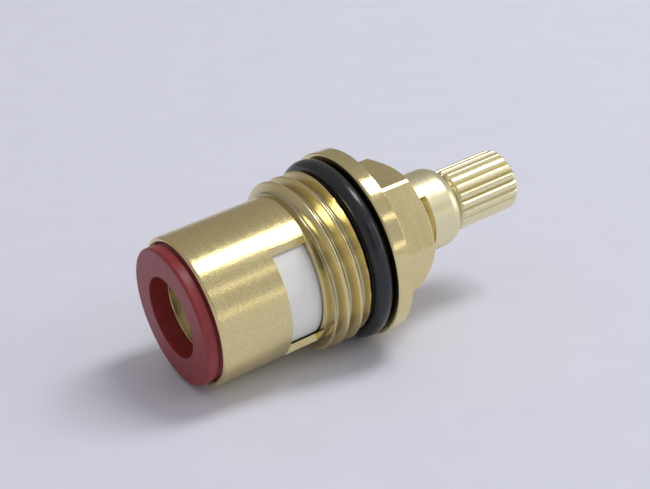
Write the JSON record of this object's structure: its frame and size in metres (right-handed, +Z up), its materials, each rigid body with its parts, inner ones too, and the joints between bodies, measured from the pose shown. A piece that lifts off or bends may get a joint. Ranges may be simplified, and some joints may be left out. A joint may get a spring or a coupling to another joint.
{
  "type": "ceramic disc tap cartridge",
  "caption": "Quarter-turn tap cartridge: brass body with pipe thread, hexagon and side windows, splined spindle, turning ceramic disc and red inlet seal.",
  "frame": {"origin": "on the cartridge axis, in the plane of the flange face that seats on the tap body", "axes": "+X along the axis towards the splined spindle end, +Z up with the windows facing +Y and -Y"},
  "size_m": [0.0476, 0.0232, 0.0232],
  "materials": {
    "body_brass": "turned satin",
    "spindle_brass": "turned satin",
    "ring_brass": "turned",
    "black_rubber": "smooth moulded",
    "red_rubber": "matt moulded",
    "white_ceramic": "lapped satin",
    "washer_plastic": "moulded",
    "driver_plastic": "moulded",
    "clip_steel": "spring steel"
  },
  "bodies": {
    "housing": {"valve_body": "body_brass", "flange_oring": "black_rubber", "inlet_seal": "red_rubber", "seal_support_ring": "ring_brass", "fixed_disc": "white_ceramic", "thrust_washer": "washer_plastic"},
    "spindle_set": {"spindle": "spindle_brass", "upper_stem_oring": "black_rubber", "lower_stem_oring": "black_rubber", "retaining_clip": "clip_steel", "disc_driver": "driver_plastic", "moving_disc": "white_ceramic"}
  },
  "joints": [
    {"name": "spindle_turn", "type": "hinge", "parent": "housing", "child": "spindle_set", "pos_m": [0, 0, 0], "axis": [1, 0, 0], "range_deg": [0, 90]}
  ]
}
